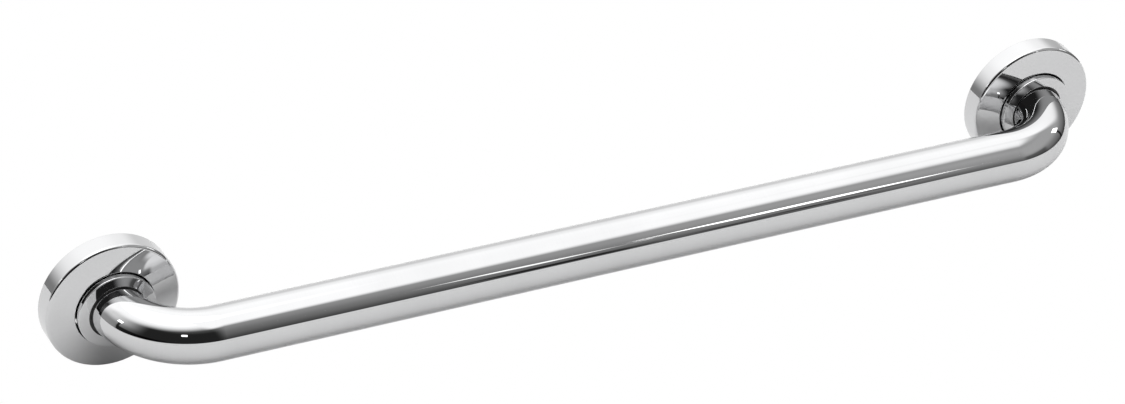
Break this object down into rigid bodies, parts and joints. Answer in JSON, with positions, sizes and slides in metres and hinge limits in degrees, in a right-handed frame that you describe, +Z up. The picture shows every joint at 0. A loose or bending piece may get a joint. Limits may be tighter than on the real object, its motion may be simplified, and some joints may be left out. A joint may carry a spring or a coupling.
{
  "type": "grab rail",
  "caption": "Straight wall-mounted grab rail: a bent tube between two round roses with raised collars that hide the screw plates.",
  "frame": {"origin": "on the wall plane, midway between the axes of the two legs", "axes": "+X along the bar, from the left rose to the right rose; +Z up; +Y into the wall, so the rail stands out towards -Y"},
  "size_m": [0.6906, 0.074, 0.081],
  "materials": {
    "polished_tube": "mirror polished",
    "polished_cover": "mirror polished pressing",
    "polished_collar": "mirror polished turning",
    "plain_steel": "as rolled, deburred",
    "weld_metal": "ground flush",
    "black_rubber": "matte"
  },
  "bodies": {
    "rail": {"rail_tube": "polished_tube", "left_mounting_plate": "plain_steel", "left_tube_weld": "weld_metal", "left_wall_gasket": "black_rubber", "left_cover_o_ring": "black_rubber", "left_collar": "polished_collar", "left_collar_seal": "black_rubber", "right_mounting_plate": "plain_steel", "right_tube_weld": "weld_metal", "right_wall_gasket": "black_rubber", "right_cover_o_ring": "black_rubber", "right_collar": "polished_collar", "right_collar_seal": "black_rubber"},
    "left_cover": {"left_rose_cover": "polished_cover"},
    "right_cover": {"right_rose_cover": "polished_cover"}
  },
  "joints": [
    {"name": "left_cover_slide", "type": "slide", "parent": "rail", "child": "left_cover", "axis": [0, -1, 0], "range_m": [0, 0.016]},
    {"name": "right_cover_slide", "type": "slide", "parent": "rail", "child": "right_cover", "axis": [0, -1, 0], "range_m": [0, 0.016]}
  ]
}
